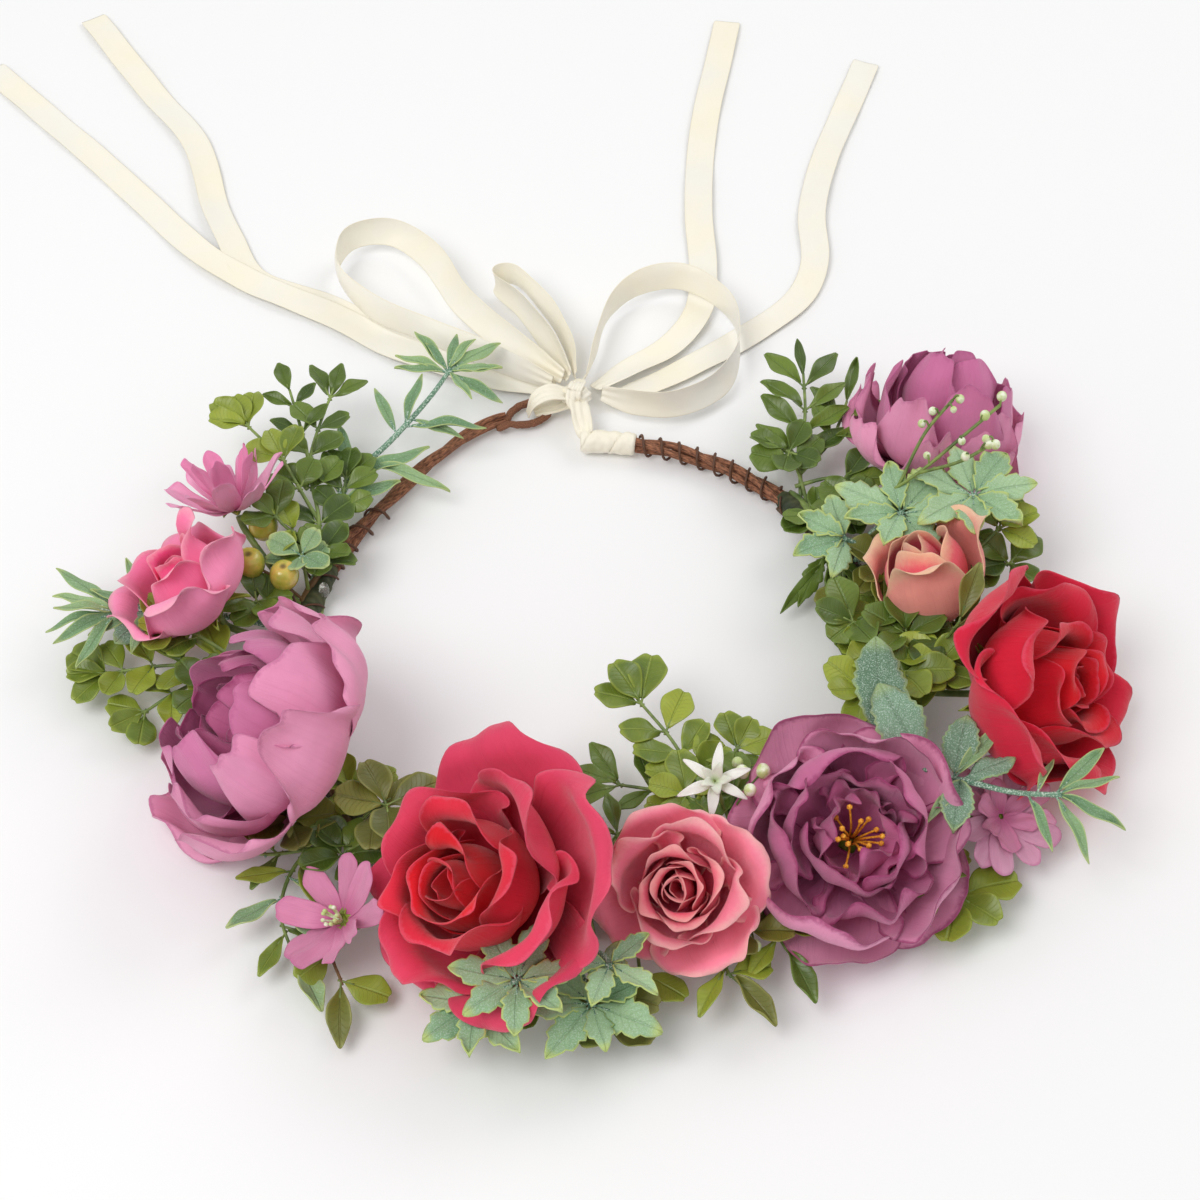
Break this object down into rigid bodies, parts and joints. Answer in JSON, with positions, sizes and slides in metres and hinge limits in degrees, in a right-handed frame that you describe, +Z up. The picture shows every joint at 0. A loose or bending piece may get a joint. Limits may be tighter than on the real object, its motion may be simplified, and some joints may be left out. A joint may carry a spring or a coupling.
{
  "type": "flower crown",
  "caption": "Open twisted-vine hair crown bound with floral tape, carrying silk flower heads and leaf sprigs, tied at the back with a satin ribbon bow.",
  "frame": {"origin": "on the table under the middle of the crown without its ribbon tails", "axes": "+Z up from the table, +Y towards the back where the ribbon is tied, +X to the right as seen from the front"},
  "size_m": [0.3891, 0.4531, 0.0622],
  "materials": {
    "vine": "twisted paper vine, matte reddish brown",
    "binding_wire": "thin brown paper-covered wire",
    "floral_tape": "dark green waxed crepe tape",
    "green_stem": "moulded green plastic sleeve and calyx",
    "satin_ribbon": "ivory satin, glossy at the bends",
    "mauve_petal": "heat-pressed mauve fabric petals",
    "deep_mauve_petal": "heat-pressed deep mauve fabric petals",
    "hot_pink_petal": "hot pink fabric petals with pale edges",
    "rose_red_petal": "rose red fabric petals with pinkish rims",
    "deep_red_petal": "deep red fabric petals",
    "peach_petal": "peach fabric petals with coral shading",
    "coral_petal": "coral pink fabric petals",
    "daisy_petal": "pink printed fabric petals with darker veins",
    "white_petal": "white moulded plastic filler flower",
    "stamen": "orange yellow stamen threads",
    "boxwood_leaf": "semi-gloss moulded leaves, light to dark green",
    "dusty_leaf": "powdered grey green leaves",
    "frosted_leaf": "pale leaves with flocked frost and yellow green rims",
    "dark_leaf": "dark green leaves",
    "berry": "glossy yellow green berries with an orange blush"
  },
  "bodies": {
    "root": {"vine_strand_1": "vine", "vine_strand_2": "vine", "vine_strand_3": "vine", "binding_wire": "binding_wire", "floral_tape": "floral_tape", "left_peony_outer_petals": "mauve_petal", "left_peony_inner_petals": "deep_mauve_petal", "left_peony_stem": "green_stem", "left_pink_rose_outer_petals": "hot_pink_petal", "left_pink_rose_inner_petals": "hot_pink_petal", "left_pink_rose_stem": "green_stem", "front_red_rose_outer_petals": "rose_red_petal", "front_red_rose_inner_petals": "deep_red_petal", "front_red_rose_stem": "green_stem", "front_coral_rose_outer_petals": "peach_petal", "front_coral_rose_inner_petals": "coral_petal", "front_coral_rose_stem": "green_stem", "front_right_peony_outer_petals": "mauve_petal", "front_right_peony_inner_petals": "deep_mauve_petal", "front_right_peony_stamens": "stamen", "front_right_peony_stem": "green_stem", "right_red_rose_outer_petals": "rose_red_petal", "right_red_rose_inner_petals": "deep_red_petal", "right_red_rose_stem": "green_stem", "right_rosebud_petals": "coral_petal", "right_rosebud_stem": "green_stem", "back_right_peony_petals": "mauve_petal", "back_right_peony_stem": "green_stem", "back_left_daisy_petals": "daisy_petal", "back_left_daisy_stem": "green_stem", "front_left_daisy_petals": "daisy_petal", "front_left_daisy_stem": "green_stem", "right_daisy_petals": "daisy_petal", "right_daisy_stem": "green_stem", "boxwood_sprig_back_right": "boxwood_leaf", "drooping_leaf_sprig": "dark_leaf", "frosted_sprig_back_right": "frosted_leaf", "boxwood_sprig_right": "boxwood_leaf", "frosted_leaves_right": "frosted_leaf", "frosted_sprig_right": "frosted_leaf", "boxwood_sprig_front_right": "boxwood_leaf", "boxwood_sprig_front": "boxwood_leaf", "frosted_sprig_front": "frosted_leaf", "leaf_sprig_front_left": "dark_leaf", "boxwood_sprig_left": "boxwood_leaf", "frosted_sprig_left": "frosted_leaf", "boxwood_sprig_back_left": "boxwood_leaf", "dusty_sprig_back_left": "dusty_leaf", "berry_sprig": "berry", "bud_spray_right": "green_stem", "white_star_sprig": "white_petal", "ribbon_tail_left_front": "satin_ribbon", "ribbon_tail_left_back": "satin_ribbon", "ribbon_tail_right_front": "satin_ribbon", "ribbon_tail_right_back": "satin_ribbon", "bow_loop_left": "satin_ribbon", "bow_loop_left_small": "satin_ribbon", "bow_loop_right": "satin_ribbon", "bow_knot": "satin_ribbon", "ribbon_wrap": "satin_ribbon"}
  },
  "joints": []
}
